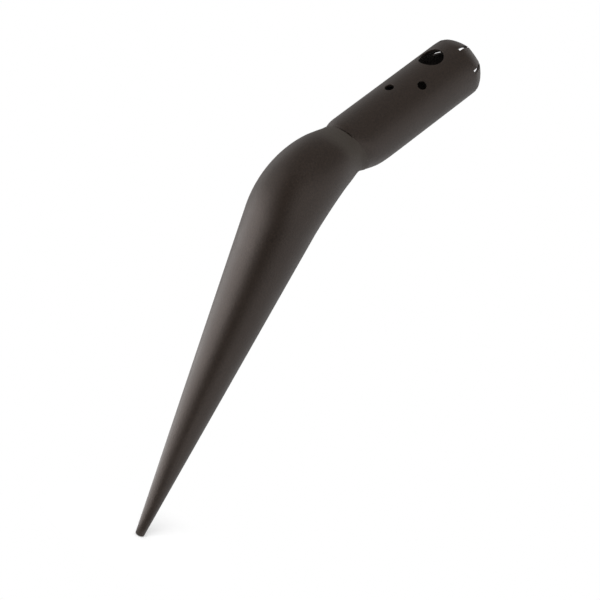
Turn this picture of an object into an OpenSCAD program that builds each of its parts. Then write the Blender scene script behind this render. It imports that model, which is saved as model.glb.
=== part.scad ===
// Cranked ground spike with a round, crowned socket tube, welded from steel.
// Millimetres. The leg stands on its point at the origin with its axis on +Z;
// the socket leans towards +X in the XZ plane.

/* [Leg] */
// Diameter of the blunt point
point_d = 8.8; // [7:0.1:12]
// Straight length of the taper, from the point to the start of the bend
leg_len = 339; // [240:1:450]
// Outside diameter where the straight taper ends and the bend starts
leg_d = 70; // [64:0.5:80]
// Sheet thickness of the rolled leg
leg_wall = 2.5; // [2:0.1:3]
// Width of the welded seam along the rolled leg
seam_w = 3; // [2:0.1:5]

/* [Point] */
// Length of the solid point up to the sheet's open end
point_len = 42; // [34:1:70]
// Depth of the point's plug inside the leg
plug_len = 26; // [15:1:40]
// Width of the weld that joins the point to the leg
point_weld_w = 3; // [2:0.1:4]
// Rounding of the point's blunt end
point_round = 1.2; // [0.4:0.1:2]

/* [Bend] */
// Angle between the leg and the socket
bend_angle = 45; // [30:1:60]
// Radius of the bend on the centre line
bend_r = 88; // [80:1:120]
// Straight run from the end of the bend to the neck
neck_run = 22.7; // [20:0.1:30]

/* [Neck] */
// Diameter of the waist where leg and socket meet
neck_d = 49.6; // [46:0.2:52]
// Width of the weld round the neck
neck_weld_w = 10; // [8:0.1:12]
// Part of that width on the socket's side of the waist
neck_weld_up = 2; // [1:0.1:3]
// Radius of the weld's hollow face
neck_weld_r = 70; // [60:1:120]
// Depth of the leg's spigot inside the socket
spigot_len = 24; // [15:1:35]
// Length over which the leg's sheet is upset inwards to make the spigot
upset_len = 30; // [20:1:40]

/* [Socket] */
// Outside diameter of the socket tube
tube_d = 60.3; // [58:0.1:66]
// Wall of the socket tube
tube_wall = 2.9; // [2:0.1:3.6]
// Length from the neck to the foot of the crown
tube_len = 147.5; // [130:0.5:260]
// Offset of the socket's axis from the neck, towards the inside of the bend
tube_offset = 4; // [2:0.1:4.5]
// Length over which the socket's lower end is drawn in to the neck
draw_len = 44; // [36:0.5:50]
// Turn of the slits and holes about the socket's axis, from the plane of the bend
socket_turn = -6; // [-20:0.5:20]

/* [Crown] */
// Outside radius of the inward roll of the crown
roll_r = 24; // [20:0.1:26]
// Radius of each petal of the crown in plan, flatter than the tube
petal_r = 50; // [42:0.5:60]
// Diameter of the mouth between the rolled tips
mouth_d = 42; // [34:0.5:46]
// Number of slits that divide the crown
slit_count = 7; // [5:1:9]
// Width of each slit
slit_w = 3; // [1.5:0.1:4]
// Height of the slits' lower ends above the foot of the crown
slit_rise = 4; // [0:0.1:6]

/* [Holes] */
// Diameter of the two fixing holes
fix_d = 9; // [5:0.1:12]
// Lower fixing hole, distance below the foot of the crown
fix_a_drop = 77.5; // [72:0.5:88]
// Upper fixing hole, distance below the foot of the crown
fix_b_drop = 53.5; // [48:0.5:60]
// Upper fixing hole, turn from the line of the other two holes
fix_b_turn = 38; // [30:0.5:60]
// Diameter of the large hole
large_d = 25; // [12:0.5:28]
// Large hole, distance below the foot of the crown
large_drop = 21; // [18:0.5:26]

/* [Fits] */
// Radial clearance of the parts that slide into each other before welding
fit_gap = 0.15; // [0.1:0.01:0.3]

/* [Hidden] */
finish = "#3d3833";
bare = "#46413c";
ring_sides = 48;
bend_rings = 18;
$fn = 96;
eps = 0.5;
// Radial lift of the drawn end and of each petal's roll outside the tube, so that they
// meet it at an angle
lift = 0.1;

// Centre line of the leg: straight taper, bend, short straight run to the neck
bend_len = bend_r * bend_angle * PI / 180;
neck_s = leg_len + bend_len + neck_run;

function turn(s) = min(max((s - leg_len) / bend_len, 0), 1) * bend_angle;
function past(s) = max(s - leg_len - bend_len, 0);
function spine(s) = s <= leg_len
    ? [0, 0, s]
    : [bend_r * (1 - cos(turn(s))) + past(s) * sin(turn(s)), 0,
       leg_len + bend_r * sin(turn(s)) + past(s) * cos(turn(s))];

// Outside of the leg: a cone, then a belly arc that leaves the cone on its tangent
// and closes to the neck
point_r = point_d / 2;
leg_r = leg_d / 2;
neck_r = neck_d / 2;
taper = (leg_r - point_r) / leg_len;
taper_a = atan(taper);
belly_run = neck_s - leg_len;
belly_dip = leg_r - neck_r;
belly_r = (pow(belly_run, 2) + pow(belly_dip, 2))
    / (2 * (belly_run * sin(taper_a) + belly_dip * cos(taper_a)));
belly_s = leg_len + belly_r * sin(taper_a);
belly_c = leg_r - belly_r * cos(taper_a);
function skin_r(s) = s <= leg_len
    ? point_r + taper * s
    : belly_c + sqrt(pow(belly_r, 2) - pow(s - belly_s, 2));

// Lower end of the socket: an arc of revolution about the neck, from the neck
// out to the far side of the offset tube
tube_r = tube_d / 2;
draw_r = tube_r + tube_offset + lift;
draw_dip = draw_r - neck_r;
draw_arc = (pow(draw_len, 2) + pow(draw_dip, 2)) / (2 * draw_dip);
function drawn_r(z, inset) = draw_r - draw_arc
    + sqrt(pow(draw_arc - inset, 2) - pow(draw_len - z, 2));

// Leg's shoulder and spigot at the neck
shoulder_s = neck_s + neck_weld_up - neck_weld_w;
spigot_r = min(drawn_r(0, tube_wall), tube_r - tube_wall - tube_offset) - fit_gap;
spigot_end = neck_s + neck_weld_up + spigot_len;
upset = skin_r(shoulder_s) - spigot_r;
function upset_at(s) = min(max(1 - (shoulder_s - s) / upset_len, 0), 1);
function inner_r(s) = skin_r(s) - leg_wall
    - upset * pow(upset_at(s), 2) * (3 - 2 * upset_at(s));

// Stations of the leg's sheet: outside s and r, inside s and r
step_s = min(3, neck_run / 4);
bend_stations = [for (i = [1 : bend_rings - 1])
    let (s = leg_len + (shoulder_s - step_s - leg_len) * i / (bend_rings - 1))
    [s, skin_r(s), s, inner_r(s)]];
leg_stations = concat(
    [[point_len, skin_r(point_len), point_len, inner_r(point_len)],
     [leg_len, leg_r, leg_len, inner_r(leg_len)]],
    bend_stations,
    [[shoulder_s, skin_r(shoulder_s), shoulder_s - step_s / 2, spigot_r - leg_wall],
     [shoulder_s, spigot_r, shoulder_s + step_s / 2, spigot_r - leg_wall],
     [spigot_end, spigot_r, spigot_end, spigot_r - leg_wall]]);

function on_ring(s, r, a) = spine(s)
    + r * cos(90 + a) * [cos(turn(s)), 0, -sin(turn(s))]
    + r * sin(90 + a) * [0, 1, 0];
function seam_half(r) = asin(seam_w / 2 / r);
function sheet_a(r, i, n, seam) = seam
    ? seam_half(r) * (2 * i / n - 1)
    : seam_half(r) + (360 - 2 * seam_half(r)) * i / n;
function quad(a, b, c, d) = [[a, b, c], [a, c, d]];

// Sheet along the stations, either round from one edge of the seam to the other
// or the strip of weld that fills the seam
module sheet(n, seam) {
    m = 2 * (n + 1);
    last = (len(leg_stations) - 1) * m;
    points = [for (t = leg_stations) each concat(
        [for (i = [0 : n]) on_ring(t[0], t[1], sheet_a(t[1], i, n, seam))],
        [for (i = [n : -1 : 0]) on_ring(t[2], t[3], sheet_a(t[3], i, n, seam))])];
    sides = [for (k = [0 : len(leg_stations) - 2], j = [0 : m - 1])
        each quad(k * m + j, (k + 1) * m + j,
            (k + 1) * m + (j + 1) % m, k * m + (j + 1) % m)];
    foot = [for (i = [0 : n - 1]) each quad(i, i + 1, m - 2 - i, m - 1 - i)];
    head = [for (i = [0 : n - 1])
        each quad(last + m - 1 - i, last + m - 2 - i, last + i + 1, last + i)];
    polyhedron(points, concat(sides, foot, head), convexity = 6);
}

// Frames of the neck and of the socket's own axis
module at_neck() {
    translate(spine(neck_s)) rotate([0, bend_angle, 0]) children();
}

module at_socket() {
    at_neck() translate([tube_offset, 0, 0]) rotate([0, 0, socket_turn]) children();
}

// Solid form of the drawn lower end, seen as a revolve about the neck
module drawn_form(inset) {
    rotate_extrude() {
        intersection() {
            translate([draw_r - draw_arc, draw_len]) circle(r = draw_arc - inset, $fn = 360);
            square([draw_r + eps, draw_len]);
        }
        translate([0, draw_len - lift]) square([draw_r + tube_r, tube_len + roll_r]);
    }
}

// Form that rolls one petal of the crown in, about the petal's own axis
module petal_form(inset) {
    roll_c = petal_r - roll_r + lift;
    reach = petal_r + tube_r;
    rotate_extrude() {
        square([reach, tube_len]);
        square([roll_c, tube_len + roll_r - inset]);
        intersection() {
            translate([roll_c, tube_len]) circle(r = roll_r - inset);
            translate([0, tube_len - eps]) square([reach, roll_r + 2 * eps]);
        }
    }
}

// Solid form of the tube on the socket's axis, rolled in at its top by the petals
// from number i on
module tube_form(inset, i = 0) {
    if (i == slit_count) {
        cylinder(r = tube_r - inset, h = tube_len + roll_r + eps);
    } else {
        intersection() {
            tube_form(inset, i + 1);
            rotate([0, 0, (i + 0.5) * 360 / slit_count])
                translate([tube_r - petal_r, 0, 0]) petal_form(inset);
        }
    }
}

module wall_hole(drop, a, d) {
    translate([0, 0, tube_len - drop]) rotate([0, 0, 180 + a]) rotate([0, 90, 0])
        cylinder(d = d, h = tube_r + eps);
}

// Rolled and bent sheet of the leg, open along its seam
module spike_shell() {
    color(finish) sheet(ring_sides, false);
}

// Weld that closes the seam, ground flush
module seam_weld() {
    color(bare) sheet(2, true);
}

// Solid point with a tapered plug inside the leg
module spike_tip() {
    weld_s = point_len - point_weld_w;
    plug_s = point_len + plug_len;
    cut = point_round * (1 - cos(45));
    color(finish) rotate_extrude() {
        polygon([
            [0, 0],
            [point_r - point_round, 0],
            [point_r - cut, cut],
            [skin_r(point_round), point_round],
            [skin_r(weld_s), weld_s],
            [inner_r(point_len) - fit_gap, point_len],
            [inner_r(plug_s) - fit_gap, plug_s],
            [0, plug_s]]);
    }
}

// Groove weld between the point and the leg, ground flush
module tip_weld() {
    weld_s = point_len - point_weld_w;
    color(bare) rotate_extrude() {
        polygon([
            [skin_r(weld_s), weld_s],
            [skin_r(point_len), point_len],
            [inner_r(point_len) - fit_gap, point_len]]);
    }
}

// Hollow fillet weld that leaves the leg on its tangent and stops a small step below
// the socket's end
module neck_weld() {
    low_z = neck_weld_up - neck_weld_w;
    low_r = skin_r(shoulder_s);
    lean = asin((shoulder_s - belly_s) / belly_r);
    bore_r = spigot_r + fit_gap;
    color(bare) at_neck() rotate_extrude() difference() {
        translate([bore_r, low_z]) square([low_r - bore_r, neck_weld_w]);
        translate([low_r + neck_weld_r * cos(lean), low_z + neck_weld_r * sin(lean)])
            circle(r = neck_weld_r, $fn = 360);
    }
}

// Socket tube, drawn in at the neck, drilled on its upper side and slit and rolled
// in at its mouth
module socket_tube() {
    color(finish) difference() {
        intersection() {
            at_socket() tube_form(0);
            at_neck() drawn_form(0);
        }
        intersection() {
            at_socket() tube_form(tube_wall);
            at_neck() drawn_form(tube_wall);
        }
        at_neck() translate([0, 0, -eps]) cylinder(d = tube_d * 2, h = eps + neck_weld_up);
        at_socket() {
            translate([0, 0, tube_len - eps]) cylinder(d = mouth_d, h = roll_r + 2 * eps);
            for (i = [0 : slit_count - 1])
                rotate([0, 0, i * 360 / slit_count])
                    translate([0, -slit_w / 2, tube_len + slit_rise])
                        cube([tube_r + eps, slit_w, roll_r]);
            wall_hole(fix_a_drop, 0, fix_d);
            wall_hole(fix_b_drop, fix_b_turn, fix_d);
            wall_hole(large_drop, 0, large_d);
        }
    }
}

spike_shell();
seam_weld();
spike_tip();
tip_weld();
neck_weld();
socket_tube();
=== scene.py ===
"""Cranked ground spike: a rolled, tapered leg welded to a crowned tube socket.

The whole spike wears one satin brown-black powder coat. It stands on its point on a
white floor. Sizes are in millimetres and become metres as each mesh is made.
"""

import math

import bmesh
import bpy
from mathutils import Matrix, Vector, noise


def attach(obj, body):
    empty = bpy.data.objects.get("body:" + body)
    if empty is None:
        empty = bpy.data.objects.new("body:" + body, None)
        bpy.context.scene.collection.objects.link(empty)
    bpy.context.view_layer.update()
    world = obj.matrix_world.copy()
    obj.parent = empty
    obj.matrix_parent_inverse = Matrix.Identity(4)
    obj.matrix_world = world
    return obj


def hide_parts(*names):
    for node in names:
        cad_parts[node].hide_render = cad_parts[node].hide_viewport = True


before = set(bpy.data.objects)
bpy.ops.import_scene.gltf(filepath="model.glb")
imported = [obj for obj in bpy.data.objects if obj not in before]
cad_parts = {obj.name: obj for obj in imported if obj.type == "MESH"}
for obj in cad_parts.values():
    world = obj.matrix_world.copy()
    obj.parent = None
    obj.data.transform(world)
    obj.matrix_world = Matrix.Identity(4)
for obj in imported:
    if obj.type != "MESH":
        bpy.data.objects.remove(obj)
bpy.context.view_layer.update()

MM = 0.001

# Leg, the same sizes as the solids
POINT_R = 4.4
POINT_LEN = 42.0
POINT_WELD_W = 3.0
PLUG_LEN = 26.0
LEG_LEN = 339.0
LEG_R = 35.0
LEG_WALL = 2.5
SEAM_W = 3.0
BEND_ANGLE = math.radians(45)
BEND_R = 88.0
NECK_RUN = 22.7
NECK_R = 24.8
FIT_GAP = 0.15

# Neck weld, measured along the socket's axis from the waist
WELD_W = 10.0
WELD_UP = 2.0
WELD_HOLLOW_R = 70.0
SPIGOT_LEN = 24.0
UPSET_LEN = 30.0

# Socket tube and its crown
TUBE_R = 30.15
TUBE_WALL = 2.9
TUBE_LEN = 147.5
TUBE_OFFSET = 4.0
DRAW_LEN = 44.0
# The drawn end and the petals lie this far outside the tube where they run into it
LIFT = 0.1
# Radius of the crown's inward roll, and of each petal in plan
ROLL_R = 24.0
PETAL_R = 50.0
MOUTH_R = 21.0
SLIT_COUNT = 7
SLIT_W = 3.0
SLIT_RISE = 4.0
SOCKET_TURN = math.radians(-6)

# Holes in the socket: distance below the crown, turn from the inside of the bend, radius
HOLES = (
    (77.5, math.radians(174), 4.5),
    (53.5, math.radians(212), 4.5),
    (21.0, math.radians(174), 12.5),
)

# Centre line and outside of the leg
BEND_LEN = BEND_R * BEND_ANGLE
NECK_S = LEG_LEN + BEND_LEN + NECK_RUN
TAPER = (LEG_R - POINT_R) / LEG_LEN
TAPER_A = math.atan(TAPER)
BELLY_RUN = NECK_S - LEG_LEN
BELLY_DIP = LEG_R - NECK_R
BELLY_R = (BELLY_RUN**2 + BELLY_DIP**2) / (
    2 * (BELLY_RUN * math.sin(TAPER_A) + BELLY_DIP * math.cos(TAPER_A))
)
BELLY_S = LEG_LEN + BELLY_R * math.sin(TAPER_A)
BELLY_C = LEG_R - BELLY_R * math.cos(TAPER_A)

# Drawn-in lower end of the socket
DRAW_R = TUBE_R + TUBE_OFFSET + LIFT
DRAW_DIP = DRAW_R - NECK_R
DRAW_ARC = (DRAW_LEN**2 + DRAW_DIP**2) / (2 * DRAW_DIP)


def turn(s):
    """Angle the leg has bent through at length s along its centre line."""
    return min(max((s - LEG_LEN) / BEND_LEN, 0.0), 1.0) * BEND_ANGLE


def spine(s):
    """Point of the leg's centre line at length s from the point."""
    if s <= LEG_LEN:
        return Vector((0.0, 0.0, s))
    a = turn(s)
    past = max(s - LEG_LEN - BEND_LEN, 0.0)
    return Vector((
        BEND_R * (1 - math.cos(a)) + past * math.sin(a),
        0.0,
        LEG_LEN + BEND_R * math.sin(a) + past * math.cos(a),
    ))


def skin_r(s):
    """Outside radius of the leg: a cone, then a belly arc that closes to the neck."""
    if s <= LEG_LEN:
        return POINT_R + TAPER * s
    return BELLY_C + math.sqrt(BELLY_R**2 - (s - BELLY_S) ** 2)


def drawn_r(z, inset):
    """Radius of the drawn-in end about the neck's axis, z above the waist."""
    return DRAW_R - DRAW_ARC + math.sqrt((DRAW_ARC - inset) ** 2 - (DRAW_LEN - z) ** 2)


SHOULDER_S = NECK_S + WELD_UP - WELD_W
SPIGOT_R = min(drawn_r(0, TUBE_WALL), TUBE_R - TUBE_WALL - TUBE_OFFSET) - FIT_GAP
SPIGOT_END = NECK_S + WELD_UP + SPIGOT_LEN
UPSET = skin_r(SHOULDER_S) - SPIGOT_R


def inner_r(s):
    """Inside radius of the leg's sheet, upset inwards before the neck."""
    t = min(max(1 - (SHOULDER_S - s) / UPSET_LEN, 0.0), 1.0)
    return skin_r(s) - LEG_WALL - UPSET * t * t * (3 - 2 * t)


def on_leg(s, r, angle):
    """Point at radius r round the leg, angle from the seam on the +Y side."""
    a = turn(s)
    side = -r * math.sin(angle)
    back = r * math.cos(angle)
    return spine(s) + Vector((side * math.cos(a), back, -side * math.sin(a)))


NECK = spine(NECK_S)
ACROSS = Vector((math.cos(BEND_ANGLE), 0.0, -math.sin(BEND_ANGLE)))
ALONG = Vector((math.sin(BEND_ANGLE), 0.0, math.cos(BEND_ANGLE)))
SIDE = Vector((0.0, 1.0, 0.0))
SOCKET_FOOT = NECK + TUBE_OFFSET * ACROSS


def on_neck(r, angle, z):
    """Point about the neck's axis, angle from the inside of the bend."""
    return NECK + r * math.cos(angle) * ACROSS + r * math.sin(angle) * SIDE + z * ALONG


def on_socket(r, angle, z):
    """Point about the socket's own axis, angle from the inside of the bend."""
    return on_neck(r, angle, z) + TUBE_OFFSET * ACROSS


def grid_faces(rows, closed):
    """Quads between rows of vertex numbers of equal length."""
    faces = []
    for low, high in zip(rows, rows[1:]):
        count = len(low)
        for j in range(count if closed else count - 1):
            k = (j + 1) % count
            faces.append((low[j], low[k], high[k], high[j]))
    return faces


# Corners sharper than this stay crisp, or are eased where a piece asks for it
SHARP_ANGLE = math.radians(38)
EASE_SEGMENTS = 3


class Shape:
    """Vertices and faces of one piece while it is being drawn."""

    def __init__(self):
        self.points = []
        self.faces = []

    def add_row(self, points):
        start = len(self.points)
        self.points.extend(points)
        return list(range(start, len(self.points)))

    def add_grid(self, rows, closed=True):
        self.faces.extend(grid_faces(rows, closed))

    def add_cap(self, row):
        """Closes a ring with a fan about its middle."""
        middle = sum((self.points[i] for i in row), Vector()) / len(row)
        centre = self.add_row([middle])[0]
        for j, i in enumerate(row):
            self.faces.append((i, row[(j + 1) % len(row)], centre))

    def add_ends(self, rows, count):
        """Closes both ends of a sheet whose rows run count points out along one face and
        back along the other."""
        for row in (rows[0], rows[-1]):
            self.add_grid([row[:count], row[:count - 1:-1]], closed=False)

    def finish(self, name, node, material, soften=0.0):
        """Makes the object that stands for a solid; its sharp edges are eased where soften is
        given, and kept crisp otherwise.
        """
        mesh = bpy.data.meshes.new(name)
        mesh.from_pydata([p * MM for p in self.points], [], self.faces)
        work = bmesh.new()
        work.from_mesh(mesh)
        bmesh.ops.recalc_face_normals(work, faces=work.faces)
        work.to_mesh(mesh)
        work.free()
        mesh.shade_smooth()
        mesh.materials.append(material)
        piece = bpy.data.objects.new(name, mesh)
        bpy.context.collection.objects.link(piece)
        if soften:
            bevel = piece.modifiers.new("eased edges", "BEVEL")
            bevel.width = soften * MM
            bevel.segments = EASE_SEGMENTS
            bevel.limit_method = "ANGLE"
            bevel.angle_limit = SHARP_ANGLE
            bevel.harden_normals = True
        else:
            mesh.set_sharp_from_angle(angle=SHARP_ANGLE)
        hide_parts(node)
        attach(piece, "root")
        return piece


# Materials


def linear(hex_colour):
    """sRGB hex to linear RGBA."""
    channels = [int(hex_colour[i:i + 2], 16) / 255 for i in (1, 3, 5)]
    values = [c / 12.92 if c <= 0.04045 else ((c + 0.055) / 1.055) ** 2.4 for c in channels]
    return (*values, 1.0)


def add_node(tree, kind, inputs=(), **settings):
    """Adds a node, sets its properties, and fills or links its inputs."""
    node = tree.nodes.new(kind)
    for key, value in settings.items():
        setattr(node, key, value)
    for key, value in dict(inputs).items():
        if isinstance(value, bpy.types.NodeSocket):
            tree.links.new(value, node.inputs[key])
        else:
            node.inputs[key].default_value = value
    return node


def new_material(name):
    material = bpy.data.materials.new(name)
    material.use_nodes = True
    material.node_tree.nodes.clear()
    return material, material.node_tree


def per_metre(size_mm):
    """Texture scale whose pattern repeats about every size_mm."""
    return 1 / (size_mm * MM)


# Upper edge of the neck weld: a plane that leans, so the edge climbs towards TOE_SIDE
TOE_Z = 3.4
TOE_SWAY = 4.5
TOE_SIDE = math.radians(-40)
TOE_LEAN = TOE_SWAY / NECK_R * (math.cos(TOE_SIDE) * ACROSS + math.sin(TOE_SIDE) * SIDE)

# Painted lighter band below that edge, for the light the neck's hollow catches: where it starts,
# where it is full and how much grain it hides
LIT_BAND_FROM = -25.0
LIT_BAND_TO = -12.0
LIT_BAND_SHARE = 0.75

# Patterns of the coat
SPECKLE_MM = 1.6
CLOUD_MM = 45.0
PIT_DEPTH = 0.28
PIT_STRENGTH = 0.6
PEEL_STRENGTH = 0.35

# Colours of the coat. The grain takes its two colours at these levels of the speckle
GRAIN_DARK = linear("#0d0a07")
GRAIN_DARK_AT = 0.32
GRAIN_PALE = linear("#29211b")
GRAIN_PALE_AT = 0.7
CLOUD_TINT = linear("#1f1813")
# The neck band's tint below is painted light: paler, for the light the band catches
LIT_BAND_TINT = linear("#332f2a")
# The inside's tint below is painted shade: nearly black, for the dark inside of the tube
INSIDE_SHADE_TINT = linear("#080605")
SHEEN_TINT = linear("#fff0ea")

# Roughness of the coat: its range from cloud to cloud, and what is added towards the
# outline, in the painted lighter band round the neck and inside the socket
CLOUD_LOW = 0.3
CLOUD_HIGH = 0.7
ROUGH_LOW = 0.34
ROUGH_HIGH = 0.4
OUTLINE_BLEND = 0.3
OUTLINE_ROUGH = 0.3
LIT_BAND_ROUGH = 0.2
INSIDE_ROUGH = 0.5


def painted_lit_band_mask(tree, where):
    """Band round the neck that is rougher and painted paler, a painted lighter band for the light
    its hollow catches; it ends at the weld's upper edge.
    """
    toe_way = ALONG - TOE_LEAN
    toe = NECK.dot(toe_way) + TOE_Z
    along = add_node(tree, "ShaderNodeVectorMath", {
        0: where, 1: toe_way}, operation="DOT_PRODUCT").outputs["Value"]
    rise = add_node(tree, "ShaderNodeMapRange", {
        "Value": along, "From Min": (toe + LIT_BAND_FROM) * MM, "From Max": (toe + LIT_BAND_TO) * MM,
        "To Max": LIT_BAND_SHARE}, interpolation_type="SMOOTHSTEP")
    below = add_node(tree, "ShaderNodeMath", {0: along, 1: toe * MM}, operation="LESS_THAN")
    return add_node(tree, "ShaderNodeMath", {
        0: rise.outputs["Result"], 1: below.outputs[0]}, operation="MULTIPLY").outputs[0]


def inside_shade_mask(tree, where):
    """Inside of the socket above its drawn end, painted nearly black as painted shade. Beyond
    the straight tube, the middle of its wall is an arc about the ring the crown is rolled round."""
    from_foot = add_node(tree, "ShaderNodeVectorMath", {
        0: where, 1: SOCKET_FOOT * MM}, operation="SUBTRACT").outputs["Vector"]
    swing = add_node(tree, "ShaderNodeVectorMath", {
        0: from_foot, 1: ALONG}, operation="CROSS_PRODUCT").outputs["Vector"]
    reach = add_node(tree, "ShaderNodeVectorMath", {0: swing}, operation="LENGTH")
    height = add_node(tree, "ShaderNodeVectorMath", {
        0: from_foot, 1: ALONG}, operation="DOT_PRODUCT").outputs["Value"]
    out = add_node(tree, "ShaderNodeMath", {
        0: reach.outputs["Value"], 1: (TUBE_R - ROLL_R) * MM}, operation="SUBTRACT")
    over = add_node(tree, "ShaderNodeMath", {
        0: height, 1: TUBE_LEN * MM}, operation="SUBTRACT")
    over = add_node(tree, "ShaderNodeMath", {0: over.outputs[0], 1: 0.0}, operation="MAXIMUM")
    place = add_node(tree, "ShaderNodeCombineXYZ", {
        "X": out.outputs[0], "Y": over.outputs[0]})
    roll = add_node(tree, "ShaderNodeVectorMath", {
        0: place.outputs["Vector"]}, operation="LENGTH")
    within = add_node(tree, "ShaderNodeMath", {
        0: roll.outputs["Value"], 1: (ROLL_R - TUBE_WALL / 2) * MM}, operation="LESS_THAN")
    above = add_node(tree, "ShaderNodeMath", {
        0: height, 1: DRAW_LEN * MM}, operation="GREATER_THAN")
    return add_node(tree, "ShaderNodeMath", {
        0: within.outputs[0], 1: above.outputs[0]}, operation="MULTIPLY").outputs[0]


def powder_coat(name, peel_mm, peel_height_mm):
    """Polyester powder, sprayed dry and baked on steel: a satin brown-black film.

    The eye gets a soft sheen that spreads wide, a fine speckle where the powder grains
    melted unevenly, and a slight orange peel. Round the neck the coat is rougher and
    painted paler, a painted lighter band for the light that the neck's hollow catches; it
    ends at the weld's upper edge. Inside the socket the coat is rougher and painted nearly
    black, painted shade for the dark inside of the tube. The real speckle is about 0.3 mm,
    too fine for a render of this size, so it is drawn at SPECKLE_MM.
    """
    material, tree = new_material(name)
    where = add_node(tree, "ShaderNodeTexCoord").outputs["Object"]
    speckle = add_node(tree, "ShaderNodeTexNoise", {
        "Vector": where, "Scale": per_metre(SPECKLE_MM), "Detail": 3.0,
        "Roughness": 0.6}).outputs["Fac"]
    cloud = add_node(tree, "ShaderNodeTexNoise", {
        "Vector": where, "Scale": per_metre(CLOUD_MM), "Detail": 2.0,
        "Roughness": 0.5}).outputs["Fac"]
    peel = add_node(tree, "ShaderNodeTexNoise", {
        "Vector": where, "Scale": per_metre(peel_mm), "Detail": 2.0,
        "Roughness": 0.5}).outputs["Fac"]
    # Mask of the band round the neck that is painted paler, as painted light
    lit_band = painted_lit_band_mask(tree, where)
    # Mask of the socket's inside, which is painted nearly black as painted shade
    inside = inside_shade_mask(tree, where)

    grain = add_node(tree, "ShaderNodeValToRGB", {"Fac": speckle})
    dark, pale = grain.color_ramp.elements
    dark.position = GRAIN_DARK_AT
    dark.color = GRAIN_DARK
    pale.position = GRAIN_PALE_AT
    pale.color = GRAIN_PALE
    tint = grain.outputs["Color"]
    for share, colour in ((cloud, CLOUD_TINT), (lit_band, LIT_BAND_TINT), (inside, INSIDE_SHADE_TINT)):
        tint = add_node(tree, "ShaderNodeMix", {
            "Factor": share, 6: tint, 7: colour}, data_type="RGBA").outputs[2]

    outline = add_node(tree, "ShaderNodeLayerWeight", {"Blend": OUTLINE_BLEND})
    rough = add_node(tree, "ShaderNodeMapRange", {
        "Value": cloud, "From Min": CLOUD_LOW, "From Max": CLOUD_HIGH,
        "To Min": ROUGH_LOW, "To Max": ROUGH_HIGH}).outputs["Result"]
    for share, added in (
            (outline.outputs["Facing"], OUTLINE_ROUGH), (lit_band, LIT_BAND_ROUGH), (inside, INSIDE_ROUGH)):
        rough = add_node(tree, "ShaderNodeMath", {
            0: share, 1: added, 2: rough}, operation="MULTIPLY_ADD").outputs[0]

    film = add_node(tree, "ShaderNodeBump", {
        "Height": peel, "Strength": PEEL_STRENGTH, "Distance": peel_height_mm * MM})
    pits = add_node(tree, "ShaderNodeBump", {
        "Height": speckle, "Strength": PIT_STRENGTH, "Distance": PIT_DEPTH * MM,
        "Normal": film.outputs["Normal"]})
    coat = add_node(tree, "ShaderNodeBsdfPrincipled", {
        "Base Color": tint, "Roughness": rough, "IOR": 1.5, "Specular IOR Level": 0.5,
        "Specular Tint": SHEEN_TINT, "Normal": pits.outputs["Normal"]})
    add_node(tree, "ShaderNodeOutputMaterial", {"Surface": coat.outputs["BSDF"]})
    return material


COATED_STEEL = powder_coat(
    "powder_coat_on_rolled_steel", peel_mm=2.4, peel_height_mm=0.12)
COATED_WELD = powder_coat(
    "powder_coat_on_weld_bead", peel_mm=1.6, peel_height_mm=0.2)

# Leg

SHEET_COLUMNS = 144
STRAIGHT_RINGS = 36
BEND_RINGS = 44
# Run of the shoulder's inner corner
STEP = 1.5
# The skin lies this far inside the widest corners of the solid's sheet
SKIN_INSET = 0.02


def sheet_stations():
    """Outside and inside length and radius along the leg's rolled sheet."""
    stations = []
    for i in range(STRAIGHT_RINGS):
        s = POINT_LEN + (LEG_LEN - POINT_LEN) * i / STRAIGHT_RINGS
        stations.append((s, skin_r(s), s, inner_r(s)))
    for i in range(BEND_RINGS + 1):
        s = LEG_LEN + (SHOULDER_S - 2 * STEP - LEG_LEN) * i / BEND_RINGS
        stations.append((s, skin_r(s), s, inner_r(s)))
    bore = SPIGOT_R - LEG_WALL
    stations.append((SHOULDER_S, skin_r(SHOULDER_S), SHOULDER_S - STEP, bore))
    stations.append((SHOULDER_S, SPIGOT_R, SHOULDER_S + STEP, bore))
    stations.append((SPIGOT_END, SPIGOT_R, SPIGOT_END, bore))
    return stations


def seam_half(r):
    """Half the angle that the seam takes up at radius r."""
    return math.asin(SEAM_W / 2 / r)


def draw_leg():
    """Rolled sheet from one edge of the seam round to the other."""
    shape = Shape()
    rows = []
    for s_out, r_out, s_in, r_in in sheet_stations():
        row = []
        for i in range(SHEET_COLUMNS + 1):
            g = seam_half(r_out)
            a = g + (2 * math.pi - 2 * g) * i / SHEET_COLUMNS
            row.append(on_leg(s_out, r_out - SKIN_INSET, a))
        for i in range(SHEET_COLUMNS, -1, -1):
            g = seam_half(r_in)
            a = g + (2 * math.pi - 2 * g) * i / SHEET_COLUMNS
            row.append(on_leg(s_in, r_in, a))
        rows.append(shape.add_row(row))
    shape.add_grid(rows)
    shape.add_ends(rows, SHEET_COLUMNS + 1)
    shape.finish("leg_sheet", "spike_shell", COATED_STEEL)


# Ripples of the long weld: pitch, depth, how far each bows, its swing, and its edges' depth
SEAM_PITCH = 2.2
SEAM_RIPPLE = 0.12
SEAM_BOW = 0.8
SEAM_SWING = 0.8
SEAM_EDGE = 0.18
SEAM_COLUMNS = 8
SEAM_STEPS = 4


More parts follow.
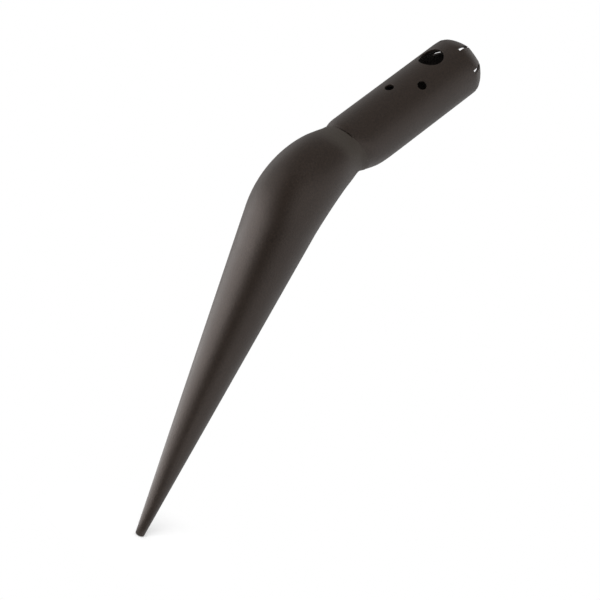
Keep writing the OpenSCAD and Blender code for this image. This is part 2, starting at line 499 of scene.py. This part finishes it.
def draw_seam():
    """Weld that closes the rolled sheet, dressed flush, with faint ripples left in it."""
    shape = Shape()
    rows = []
    length = SHOULDER_S - POINT_LEN
    rings = int(length / (SEAM_PITCH / SEAM_STEPS))
    for k in range(rings + 1):
        s = POINT_LEN + length * k / rings
        outside = skin_r(s)
        inside = inner_r(s)
        row = []
        for i in range(SEAM_COLUMNS + 1):
            t = 2 * i / SEAM_COLUMNS - 1
            wave = math.cos(2 * math.pi * (s - SEAM_BOW * t * t) / SEAM_PITCH)
            sink = SEAM_RIPPLE * (1 - SEAM_SWING * wave) * (1 - t**4) + SEAM_EDGE * t**8
            row.append(on_leg(s, outside - sink, t * seam_half(outside)))
        for i in range(SEAM_COLUMNS, -1, -1):
            t = 2 * i / SEAM_COLUMNS - 1
            row.append(on_leg(s, inside, t * seam_half(inside)))
        rows.append(shape.add_row(row))
    shape.add_grid(rows)
    shape.add_ends(rows, SEAM_COLUMNS + 1)
    shape.finish("seam_weld_strip", "seam_weld", COATED_WELD)


POINT_COLUMNS = 96
# Blunt end of the point: height of its dome and radius of its rim
POINT_DOME = 0.325
POINT_ROUND = 1.8
DOME_STEPS = 8
CONE_STEPS = 12


def on_axis(r, angle, z):
    """Point about the axis of the leg's straight part."""
    return Vector((r * math.cos(angle), r * math.sin(angle), z))


def draw_point():
    """Solid point: a blunt domed end, the cone, the weld groove and the tapered plug."""
    shape = Shape()
    profile = []
    for i in range(1, DOME_STEPS + 1):
        t = i / DOME_STEPS
        profile.append((t * (POINT_R - POINT_ROUND), POINT_DOME * t * t))
    foot = profile[-1][1]
    for i in range(1, DOME_STEPS + 1):
        a = math.pi / 2 * i / DOME_STEPS
        z = foot + POINT_ROUND * (1 - math.cos(a))
        profile.append((POINT_R - POINT_ROUND + POINT_ROUND * math.sin(a) + TAPER * z, z))
    start = profile[-1][1]
    groove = POINT_LEN - POINT_WELD_W
    for i in range(1, CONE_STEPS + 1):
        s = start + (groove - start) * i / CONE_STEPS
        profile.append((skin_r(s), s))
    profile.append((inner_r(POINT_LEN) - FIT_GAP, POINT_LEN))
    profile.append((inner_r(POINT_LEN + PLUG_LEN) - FIT_GAP, POINT_LEN + PLUG_LEN))
    rows = []
    for r, s in profile:
        turns = [2 * math.pi * j / POINT_COLUMNS for j in range(POINT_COLUMNS)]
        rows.append(shape.add_row([on_axis(r, a, s) for a in turns]))
    shape.add_grid(rows)
    shape.add_cap(rows[0])
    shape.add_cap(rows[-1])
    shape.finish("forged_point", "spike_tip", COATED_STEEL)


# Ripples of the ring weld: number, how far each bows, depth and swing
RING_RIPPLES = 18
RING_BOW = 4
RING_RIPPLE = 0.07
RING_SWING = 0.7
RING_STEPS = 8


def draw_point_weld():
    """Groove weld between the point and the sheet, dressed almost flush."""
    shape = Shape()
    root = inner_r(POINT_LEN) - FIT_GAP
    low = POINT_LEN - POINT_WELD_W
    rows = []
    for j in range(POINT_COLUMNS):
        a = 2 * math.pi * j / POINT_COLUMNS
        ring = [(root, POINT_LEN)]
        for i in range(RING_STEPS + 1):
            t = i / RING_STEPS
            s = low + POINT_WELD_W * t
            wave = math.cos(RING_RIPPLES * a + RING_BOW * (t - 0.5) ** 2)
            sink = RING_RIPPLE * (1 - RING_SWING * wave) * math.sin(math.pi * t)
            ring.append((skin_r(s) - sink, s))
        rows.append(shape.add_row([on_axis(r, a, s) for r, s in ring]))
    rows.append(rows[0])
    shape.add_grid(rows)
    shape.finish("point_weld_ring", "tip_weld", COATED_WELD)


def soft_min(a, b, ease):
    """The lesser of two radii, rounded off where they come within ease of each other."""
    near = max(ease - abs(a - b), 0.0) / ease
    return min(a, b) - near * near * ease / 4


NECK_COLUMNS = 288
FACE_ROWS = 24
TOE_ROWS = 5
# The bead: how far it stands proud of the tube, how softly its face joins the lap, how far
# its edge wanders, its lumps, and how far its root lies under the tube's skin
TOE_PROUD = 0.3
FACE_EASE = 1.6
TOE_WANDER = 0.3
WANDER_SCALE = 2
WANDER_SLICE = 4.0
LUMP = 0.07
LUMP_SCALE = 9
LUMP_STRETCH = 0.3
ROOT_INSET = 0.05
# The undercut beside its edge: width, depth, the side it is on and how far round it reaches
GROOVE_W = 1.3
GROOVE_DEEP = 1.5
GROOVE_SIDE = math.radians(-175)
GROOVE_REACH = math.radians(45)
# How softly the drawn end runs into the straight tube
DRAW_EASE = 2.0


def neck_tube_r(angle, z):
    """Outside radius of the socket's drawn end about the neck's axis."""
    side = TUBE_OFFSET * math.sin(angle)
    straight = TUBE_OFFSET * math.cos(angle) + math.sqrt(TUBE_R**2 - side**2)
    return soft_min(straight, drawn_r(z, 0), DRAW_EASE)


def noise_round(angle, scale, z):
    """Noise that meets itself after one turn."""
    return noise.noise(on_axis(scale, angle, z))


def weld_toe(angle):
    """Height of the weld's upper edge, which wanders a little on the socket's end."""
    wander = noise_round(angle, WANDER_SCALE, WANDER_SLICE)
    return TOE_Z + TOE_SWAY * math.cos(angle - TOE_SIDE) + TOE_WANDER * wander


def groove_depth(angle):
    """Depth of the undercut that the weld left beside its edge, on the upper side."""
    off = (angle - GROOVE_SIDE + math.pi) % (2 * math.pi) - math.pi
    near = max(1 - abs(off) / GROOVE_REACH, 0.0)
    return GROOVE_DEEP * min(2 * near, 1.0)


def draw_neck_weld():
    """Hollow fillet weld round the neck; its upper edge laps on to the socket's end."""
    shape = Shape()
    low_z = WELD_UP - WELD_W
    low_r = skin_r(SHOULDER_S)
    lean = math.asin((SHOULDER_S - BELLY_S) / BELLY_R)
    centre_r = low_r + WELD_HOLLOW_R * math.cos(lean)
    centre_z = low_z + WELD_HOLLOW_R * math.sin(lean)
    bore = SPIGOT_R + FIT_GAP
    rows = []
    for j in range(NECK_COLUMNS):
        a = 2 * math.pi * j / NECK_COLUMNS
        toe = weld_toe(a)
        deep = groove_depth(a)
        ring = [(bore, WELD_UP), (bore, low_z)]
        edge = toe - GROOVE_W / 2
        for i in range(FACE_ROWS + 1):
            t = i / FACE_ROWS
            z = low_z + (edge - low_z) * t
            hollow = centre_r - math.sqrt(WELD_HOLLOW_R**2 - (z - centre_z) ** 2)
            lap = neck_tube_r(a, max(z, 0.0)) + TOE_PROUD
            lump = noise_round(a, LUMP_SCALE, LUMP_STRETCH * z)
            lift = LUMP * lump * math.sin(math.pi * t)
            ring.append((-soft_min(-hollow, -lap, FACE_EASE) + lift, z))
        ring.append((ring[-1][0] - deep - TOE_PROUD, toe))
        top = toe + GROOVE_W / 2
        for i in range(TOE_ROWS):
            z = top + (WELD_UP - top) * i / (TOE_ROWS - 1)
            ring.append((neck_tube_r(a, z) - ROOT_INSET, z))
        rows.append(shape.add_row([on_neck(r, a, z) for r, z in ring]))
    rows.append(rows[0])
    shape.add_grid(rows)
    shape.finish("neck_weld_bead", "neck_weld", COATED_WELD)


# Socket

SECTOR = 2 * math.pi / SLIT_COUNT
PETAL_COLUMNS = 14
SLIT_COLUMNS = 2
TUBE_ROWS = 62
ROLL_ROWS = 18
# How softly a petal's roll runs out of the tube, and how fast it clears the tube below that
PETAL_EASE = 0.6
PETAL_SLOPE = 0.06
# How fast the drawn end's curve clears the tube above that end
DRAW_SLOPE = 0.15
# Width of a slit at its tip, and how late along the petal it narrows to that
SLIT_TIP_W = 0.3
SLIT_PINCH = 16
# The petal's radius and its angle depend on each other, and settle in this many passes
PETAL_PASSES = 4
# Patch round a hole: its margin, and where its rings lie between the hole and its rim
HOLE_MARGIN = 3.2
HOLE_RINGS = (0.62, 0.3, 0.0)
# Width of the eased edges
CUT_EASE = 0.4
SLIT_FOOT = TUBE_LEN + SLIT_RISE
# Distance of a petal's own axis beyond the socket's, and radius of the roll's centre about it
PETAL_AXIS = PETAL_R - TUBE_R
ROLL_CENTRE = PETAL_R - ROLL_R + LIFT


def socket_columns():
    """Each column of the tube: its petal's middle, share of the petal, share of the slit."""
    columns = []
    for k in range(SLIT_COUNT):
        middle = SOCKET_TURN + (k + 0.5) * SECTOR
        for i in range(PETAL_COLUMNS + 1):
            columns.append((middle, 2 * i / PETAL_COLUMNS - 1, 0.0))
        for i in range(1, SLIT_COLUMNS):
            columns.append((middle, 1.0, i / SLIT_COLUMNS))
    return columns


def column_angle(column, r, slit_w=SLIT_W):
    """Angle of a column where the tube has radius r and the slits have a width."""
    middle, share, slit = column
    half_slit = math.asin(slit_w / 2 / r)
    return middle + share * (SECTOR / 2 - half_slit) + slit * 2 * half_slit


def petal_limit(off, reach):
    """Radius about the socket's axis at an angle off a petal's middle, for a reach from
    the petal's own axis."""
    return math.sqrt(reach**2 - (PETAL_AXIS * math.sin(off)) ** 2) - PETAL_AXIS * math.cos(off)


def tube_r(angle, z, inset):
    """Radius about the socket's axis: the tube, drawn in at its foot, rolled at its top."""
    straight = TUBE_R - inset
    rho = drawn_r(min(z, DRAW_LEN), inset) + DRAW_SLOPE * max(z - DRAW_LEN, 0.0)
    across = rho**2 - (TUBE_OFFSET * math.sin(angle)) ** 2
    drawn = math.sqrt(across) - TUBE_OFFSET * math.cos(angle)
    roll = ROLL_R - inset
    rise = min(max(z - TUBE_LEN, 0.0) / roll, 1.0)
    reach = ROLL_CENTRE + roll * math.sqrt(1 - rise**2) + PETAL_SLOPE * max(TUBE_LEN - z, 0.0)
    off = (angle - SOCKET_TURN) % SECTOR - SECTOR / 2
    return soft_min(soft_min(straight, drawn, DRAW_EASE), petal_limit(off, reach), PETAL_EASE)


def on_tube(angle, z, inset):
    """Point of the tube below its slits, inset from its outside."""
    return on_socket(tube_r(angle, z, inset), angle, z)


def on_petal(column, inset, share):
    """Point of a rolled-in petal, at a share of its way from the slits' foot to the mouth.
    Rolling in pressed the corners of the petals together, so each slit closes at its tip."""
    slit_w = SLIT_W + (SLIT_TIP_W - SLIT_W) * share**SLIT_PINCH
    roll = ROLL_R - inset
    start = math.asin(SLIT_RISE / roll)
    r = TUBE_R - inset
    for _ in range(PETAL_PASSES):
        off = column_angle(column, r, slit_w) - column[0]
        tip = math.hypot(MOUTH_R * math.cos(off) + PETAL_AXIS, MOUTH_R * math.sin(off))
        beta = start + (math.acos((tip - ROLL_CENTRE) / roll) - start) * share
        limit = petal_limit(off, ROLL_CENTRE + roll * math.cos(beta))
        r = soft_min(TUBE_R - inset, limit, PETAL_EASE)
    return on_socket(r, column[0] + off, TUBE_LEN + roll * math.sin(beta))


def hole_patch(columns, heights, hole):
    """Rows and columns of the tube's grid that a hole takes out."""
    drop, middle, radius = hole
    z = TUBE_LEN - drop
    reach = radius + HOLE_MARGIN
    rows = [k for k, h in enumerate(heights) if abs(h - z) < reach]
    angles = [column_angle(c, TUBE_R) % (2 * math.pi) for c in columns]
    near = [j for j, a in enumerate(angles) if abs(a - middle) * TUBE_R < reach]
    return rows[0] - 1, rows[-1] + 1, near[0] - 1, near[-1] + 1


def draw_hole(shape, layers, columns, heights, hole):
    """Fills the patch round a hole in both faces of the tube and lines the hole."""
    drop, middle, radius = hole
    z0 = TUBE_LEN - drop
    r0, r1, c0, c1 = hole_patch(columns, heights, hole)
    rim = [(r0, c) for c in range(c0, c1)]
    rim += [(r, c1) for r in range(r0, r1)]
    rim += [(r1, c) for c in range(c1, c0, -1)]
    rim += [(r, c0) for r in range(r1, r0, -1)]
    edges = []
    for inset, rows in layers:
        rings = [[rows[r][c] for r, c in rim]]
        for share in HOLE_RINGS:
            ring = []
            for r, c in rim:
                angle = column_angle(columns[c], TUBE_R) % (2 * math.pi)
                toward = math.atan2((angle - middle) * TUBE_R, heights[r] - z0)
                swing = math.asin(radius * math.sin(toward) / (TUBE_R - inset))
                edge_z = z0 + radius * math.cos(toward)
                at = middle + swing + share * (angle - middle - swing)
                ring.append(on_tube(at, edge_z + share * (heights[r] - edge_z), inset))
            rings.append(shape.add_row(ring))
        shape.add_grid(rings)
        edges.append(rings[-1])
    shape.add_grid(edges)


def draw_wall(shape, columns, heights, holed, inset):
    """One face of the tube below its slits, without the patches round the holes."""
    count = len(columns)
    angles = [column_angle(c, TUBE_R) for c in columns]
    rows = [shape.add_row([on_tube(a, z, inset) for a in angles]) for z in heights]
    for r in range(TUBE_ROWS):
        for c in range(count):
            if (r, c) not in holed:
                d = (c + 1) % count
                shape.faces.append((rows[r][c], rows[r][d], rows[r + 1][d], rows[r + 1][c]))
    return rows


def draw_petals(shape, columns, top, inset):
    """One face of each petal, from the tube's top row to the mouth."""
    petals = []
    for k in range(SLIT_COUNT):
        first = k * (PETAL_COLUMNS + SLIT_COLUMNS)
        own = range(first, first + PETAL_COLUMNS + 1)
        petal = [[top[c] for c in own]]
        for i in range(1, ROLL_ROWS + 1):
            share = i / ROLL_ROWS
            petal.append(shape.add_row([on_petal(columns[c], inset, share) for c in own]))
        shape.add_grid(petal, closed=False)
        petals.append(petal)
    return petals


def draw_crown_edges(shape, crowns, outer_top, inner_top):
    """Ends and sides of the petals and the feet of the slits, from face to face."""
    count = len(outer_top)
    for k, (outer, inner) in enumerate(zip(*crowns)):
        shape.add_grid([outer[-1], inner[-1]], closed=False)
        for side in (0, -1):
            edges = [[row[side] for row in petal] for petal in (outer, inner)]
            shape.add_grid(edges, closed=False)
        last = k * (PETAL_COLUMNS + SLIT_COLUMNS) + PETAL_COLUMNS
        foot = [(last + i) % count for i in range(SLIT_COLUMNS + 1)]
        shape.add_grid([[top[c] for c in foot] for top in (outer_top, inner_top)], closed=False)


def draw_socket():
    """Tube with its drawn-in end, drilled holes and slit, rolled-in crown."""
    shape = Shape()
    columns = socket_columns()
    heights = [WELD_UP + (SLIT_FOOT - WELD_UP) * k / TUBE_ROWS for k in range(TUBE_ROWS + 1)]
    holed = set()
    for hole in HOLES:
        r0, r1, c0, c1 = hole_patch(columns, heights, hole)
        holed |= {(r, c) for r in range(r0, r1) for c in range(c0, c1)}
    layers = []
    crowns = []
    for inset in (0.0, TUBE_WALL):
        rows = draw_wall(shape, columns, heights, holed, inset)
        layers.append((inset, rows))
        crowns.append(draw_petals(shape, columns, rows[-1], inset))
    for hole in HOLES:
        draw_hole(shape, layers, columns, heights, hole)
    outer, inner = [rows for _, rows in layers]
    shape.add_grid([outer[0], inner[0]])
    draw_crown_edges(shape, crowns, outer[-1], inner[-1])
    shape.finish("crowned_socket", "socket_tube", COATED_STEEL, soften=CUT_EASE)


draw_leg()
draw_seam()
draw_point()
draw_point_weld()
draw_neck_weld()
draw_socket()

# Camera, fitted to the photograph's outline in its 600 by 600 frame

FRAME_PX = 600
FOCAL_PX = 1757.2
SENSOR_MM = 36.0
CLIP_END_M = 500.0
CAMERA_AZIMUTH = math.radians(-53.78)
CAMERA_ELEVATION = math.radians(12.395)
CAMERA_ROLL = math.radians(24.475)
CAMERA_DISTANCE = 1700.1
LOOK_AT = Vector((79.7, 0.0, 262.67))

AZ_COS = math.cos(CAMERA_AZIMUTH)
AZ_SIN = math.sin(CAMERA_AZIMUTH)
EL_COS = math.cos(CAMERA_ELEVATION)
EL_SIN = math.sin(CAMERA_ELEVATION)
LEVEL_RIGHT = Vector((AZ_COS, AZ_SIN, 0.0))
AWAY = Vector((-AZ_SIN * EL_COS, AZ_COS * EL_COS, -EL_SIN))
LEVEL_UP = Vector((-AZ_SIN * EL_SIN, AZ_COS * EL_SIN, EL_COS))
VIEW_RIGHT = math.cos(CAMERA_ROLL) * LEVEL_RIGHT + math.sin(CAMERA_ROLL) * LEVEL_UP
VIEW_UP = -math.sin(CAMERA_ROLL) * LEVEL_RIGHT + math.cos(CAMERA_ROLL) * LEVEL_UP


def facing(right, up, back, place):
    """World matrix from three axes and a place in millimetres."""
    matrix = Matrix((right, up, back)).transposed().to_4x4()
    matrix.translation = place * MM
    return matrix


camera_data = bpy.data.cameras.new("photo_camera")
camera_data.sensor_width = SENSOR_MM
camera_data.lens = SENSOR_MM * FOCAL_PX / FRAME_PX
camera_data.clip_end = CLIP_END_M
camera = bpy.data.objects.new("photo_camera", camera_data)
bpy.context.collection.objects.link(camera)
camera.matrix_world = facing(
    VIEW_RIGHT, VIEW_UP, -AWAY, LOOK_AT - CAMERA_DISTANCE * AWAY)
bpy.context.scene.camera = camera

# Stage: a paper sweep that is floor and wall, and a grey card on it

UP = Vector((0.0, 0.0, 1.0))
FLAT_AWAY = Vector((AWAY.x, AWAY.y, 0.0)).normalized()
SWEEP_FRONT = 290.0
SWEEP_BACK = 3000.0
SWEEP_HALF_W = 1300.0
SWEEP_CURVE_R = 500.0
SWEEP_STEPS = 12
WALL_H = 900.0
# Plain white takes over from the lit paper between these distances from the point
NEAR_GLOW = 0.2
NEAR_MM = 10.0
FAR_MM = 105.0


def add_stage(name, points, faces, material):
    """Makes a stage object from points in millimetres."""
    mesh = bpy.data.meshes.new(name)
    mesh.from_pydata([p * MM for p in points], [], faces)
    mesh.shade_smooth()
    mesh.materials.append(material)
    thing = bpy.data.objects.new(name, mesh)
    bpy.context.collection.objects.link(thing)
    return thing


def white_paper():
    """Matt white paper roll. Camera and mirror rays see it at plain white, away from the
    point of the spike, where the paper keeps the shadow that falls on it."""
    material, tree = new_material("matt_white_paper_sweep")
    where = add_node(tree, "ShaderNodeTexCoord").outputs["Object"]
    reach = add_node(tree, "ShaderNodeVectorMath", {0: where}, operation="LENGTH")
    glow_share = add_node(tree, "ShaderNodeMapRange", {
        "Value": reach.outputs["Value"], "From Min": NEAR_MM * MM, "From Max": FAR_MM * MM,
        "To Min": NEAR_GLOW, "To Max": 1.0}, interpolation_type="SMOOTHSTEP")
    rays = add_node(tree, "ShaderNodeLightPath")
    seen = add_node(tree, "ShaderNodeMath", {
        0: rays.outputs["Is Camera Ray"], 1: rays.outputs["Is Glossy Ray"]},
        operation="MAXIMUM")
    seen = add_node(tree, "ShaderNodeMath", {
        0: seen.outputs[0], 1: rays.outputs["Is Transmission Ray"]}, operation="MAXIMUM")
    share = add_node(tree, "ShaderNodeMath", {
        0: seen.outputs[0], 1: glow_share.outputs["Result"]}, operation="MULTIPLY")
    paper = add_node(tree, "ShaderNodeBsdfDiffuse", {"Color": linear("#f6f6f6")})
    glow = add_node(tree, "ShaderNodeEmission", {"Color": linear("#ffffff"), "Strength": 1.0})
    mixed = add_node(tree, "ShaderNodeMixShader", {
        0: share.outputs[0], 1: paper.outputs[0], 2: glow.outputs[0]})
    add_node(tree, "ShaderNodeOutputMaterial", {"Surface": mixed.outputs[0]})
    return material


def draw_sweep():
    """Floor that curves up into a wall behind the spike, square to the camera."""
    profile = [(-SWEEP_FRONT, 0.0), (FAR_MM, 0.0)]
    for i in range(SWEEP_STEPS + 1):
        a = math.pi / 2 * i / SWEEP_STEPS
        profile.append((SWEEP_BACK - SWEEP_CURVE_R * (1 - math.sin(a)),
                        SWEEP_CURVE_R * (1 - math.cos(a))))
    profile.append((SWEEP_BACK, WALL_H))
    points = []
    for away, height in profile:
        for side in (-SWEEP_HALF_W, SWEEP_HALF_W):
            points.append(away * FLAT_AWAY + side * LEVEL_RIGHT + height * UP)
    rows = [[2 * i, 2 * i + 1] for i in range(len(profile))]
    add_stage("paper_sweep", points, grid_faces(rows, closed=False), white_paper())


# Grey card: its sides, its far edge as a distance before the point, and its height
CARD_LEFT = -70.0
CARD_RIGHT = 75.0
CARD_NEAR = 12.0
CARD_LIFT = 0.4
CARD_FIBRE_MM = 3.0


def grey_card():
    """Matt grey card, faintly mottled by its fibres."""
    material, tree = new_material("matt_grey_card")
    where = add_node(tree, "ShaderNodeTexCoord").outputs["Object"]
    fibre = add_node(tree, "ShaderNodeTexNoise", {
        "Vector": where, "Scale": per_metre(CARD_FIBRE_MM), "Detail": 2.0})
    shade = add_node(tree, "ShaderNodeMix", {
        "Factor": fibre.outputs["Fac"], 6: linear("#9c9c9c"), 7: linear("#a6a6a6")},
        data_type="RGBA")
    card = add_node(tree, "ShaderNodeBsdfDiffuse", {"Color": shade.outputs[2]})
    add_node(tree, "ShaderNodeOutputMaterial", {"Surface": card.outputs[0]})
    return material


def draw_grey_card():
    """Card that lies before the spike. The lower leg mirrors it in place of the white paper,
    which gives the leg its dark core. Only mirror rays meet it: the camera sees the paper,
    and the paper keeps its light."""
    points = []
    for front in (CARD_NEAR, SWEEP_FRONT):
        for side in (CARD_LEFT, CARD_RIGHT):
            points.append(side * LEVEL_RIGHT - front * FLAT_AWAY + CARD_LIFT * UP)
    card = add_stage("grey_card", points, [(0, 1, 3, 2)], grey_card())
    card.visible_camera = False
    card.visible_diffuse = False
    card.visible_shadow = False


draw_sweep()
draw_grey_card()

# Light

# Sides of the room, and the dark band between them, by the sine off BAND_SIDE's plane
SIDE_LEVEL = 1.0
BAND_LEVEL = 0.08
BAND_SIDE = (VIEW_RIGHT - 0.4 * AWAY).normalized()
BAND_MIDDLE = 0.08
BAND_DARK = 0.2
BAND_LIGHT = 0.55

# Other parts of the room, each laid over the ones before it: direction of its middle, cosine
# off that direction where it starts and where it is full, and level
CEILING = (UP, 0.3, 0.75, 0.36)
SKYLIGHT = (0.55 * FLAT_AWAY + 0.83 * UP, 0.84, 0.93, 0.62)
FAR_END = (AWAY - 0.5 * VIEW_RIGHT + 0.3 * VIEW_UP, 0.45, 0.8, 0.6)
LEFT_SHEET = (0.7 * FLAT_AWAY - 0.74 * LEVEL_RIGHT + 0.15 * UP, 0.94, 0.985, 1.25)
RIGHT_SHEET = (0.75 * AWAY + 0.65 * VIEW_RIGHT + 0.2 * VIEW_UP, 0.8, 0.95, 1.2)
ROOM_PARTS = (CEILING, SKYLIGHT, FAR_END, LEFT_SHEET, RIGHT_SHEET)

SUN_LEVEL = 2.35
SUN_SPREAD = math.radians(30)
SUN_FROM = (-0.21 * LEVEL_RIGHT - FLAT_AWAY + 1.2 * UP).normalized()

# Bounce cards: near and far edge as distances to the right and up, and the two ends as
# distances away from the camera
BOUNCE_LEVEL = 2.15
BOUNCE_CARDS = (
    ("left_bounce_card", Vector((-250.0, 10.0)), Vector((-750.0, 350.0)), -450.0, 350.0),
    ("low_bounce_card", Vector((-20.0, 1.0)), Vector((-250.0, 10.0)), -80.0, 200.0),
)


def room_light():
    """Room with two white sides and a dark band between them, which gives the leg and the
    socket their dark cores. The grey ceiling keeps their upper sides dark, the skylight
    lights the crown's rim, and the far end and the two sheets in it light the outlines."""
    world = bpy.data.worlds.new("studio_room")
    bpy.context.scene.world = world
    world.use_nodes = True
    tree = world.node_tree
    tree.nodes.clear()
    way = add_node(tree, "ShaderNodeTexCoord").outputs["Generated"]
    side = add_node(tree, "ShaderNodeVectorMath", {0: way, 1: BAND_SIDE}, operation="DOT_PRODUCT")
    off = add_node(tree, "ShaderNodeMath", {
        0: side.outputs["Value"], 1: BAND_MIDDLE}, operation="SUBTRACT")
    off = add_node(tree, "ShaderNodeMath", {0: off.outputs[0]}, operation="ABSOLUTE")
    band = add_node(tree, "ShaderNodeMapRange", {
        "Value": off.outputs[0], "From Min": BAND_DARK, "From Max": BAND_LIGHT,
        "To Min": BAND_LEVEL, "To Max": SIDE_LEVEL}, interpolation_type="SMOOTHSTEP")
    level = band.outputs["Result"]
    for toward, first, last, new_level in ROOM_PARTS:
        close = add_node(tree, "ShaderNodeVectorMath", {
            0: way, 1: toward.normalized()}, operation="DOT_PRODUCT")
        part = add_node(tree, "ShaderNodeMapRange", {
            "Value": close.outputs["Value"], "From Min": first, "From Max": last},
            interpolation_type="SMOOTHSTEP")
        mixed = add_node(tree, "ShaderNodeMix", {
            "Factor": part.outputs["Result"], "A": level, "B": new_level})
        level = mixed.outputs["Result"]
    room = add_node(tree, "ShaderNodeBackground", {
        "Color": linear("#ffffff"), "Strength": level})
    add_node(tree, "ShaderNodeOutputWorld", {"Surface": room.outputs[0]})


def add_lamp(name, kind, **settings):
    """Lamp that the camera does not see."""
    data = bpy.data.lights.new(name, kind)
    for key, value in settings.items():
        setattr(data, key, value)
    lamp = bpy.data.objects.new(name, data)
    bpy.context.collection.objects.link(lamp)
    lamp.visible_camera = False
    return lamp


def bounce_light(name, near, far, front, back):
    """Sloping bounce card at the left, which gives the leg its broad sheen."""
    slope = far - near
    across = (slope.x * LEVEL_RIGHT + slope.y * UP).normalized()
    face = across.cross(FLAT_AWAY)
    if face.z < 0:
        face = -face
    area = slope.length * (back - front) * MM * MM
    card = add_lamp(name, "AREA", shape="RECTANGLE", size=(back - front) * MM,
                    size_y=slope.length * MM, energy=BOUNCE_LEVEL * math.pi * area)
    middle = (near + far) / 2
    place = middle.x * LEVEL_RIGHT + middle.y * UP + (front + back) / 2 * FLAT_AWAY
    card.matrix_world = facing(FLAT_AWAY, FLAT_AWAY.cross(face), -face, place)


def shadow_light():
    """Soft light from the front, for the paper's shadow; too broad to show in the gloss."""
    sun = add_lamp("front_soft_light", "SUN", energy=SUN_LEVEL, angle=SUN_SPREAD)
    sun.visible_glossy = False
    sun.rotation_euler = SUN_FROM.to_track_quat("Z", "Y").to_euler()


room_light()
for card in BOUNCE_CARDS:
    bounce_light(*card)
shadow_light()

bpy.context.scene.view_settings.view_transform = "Standard"
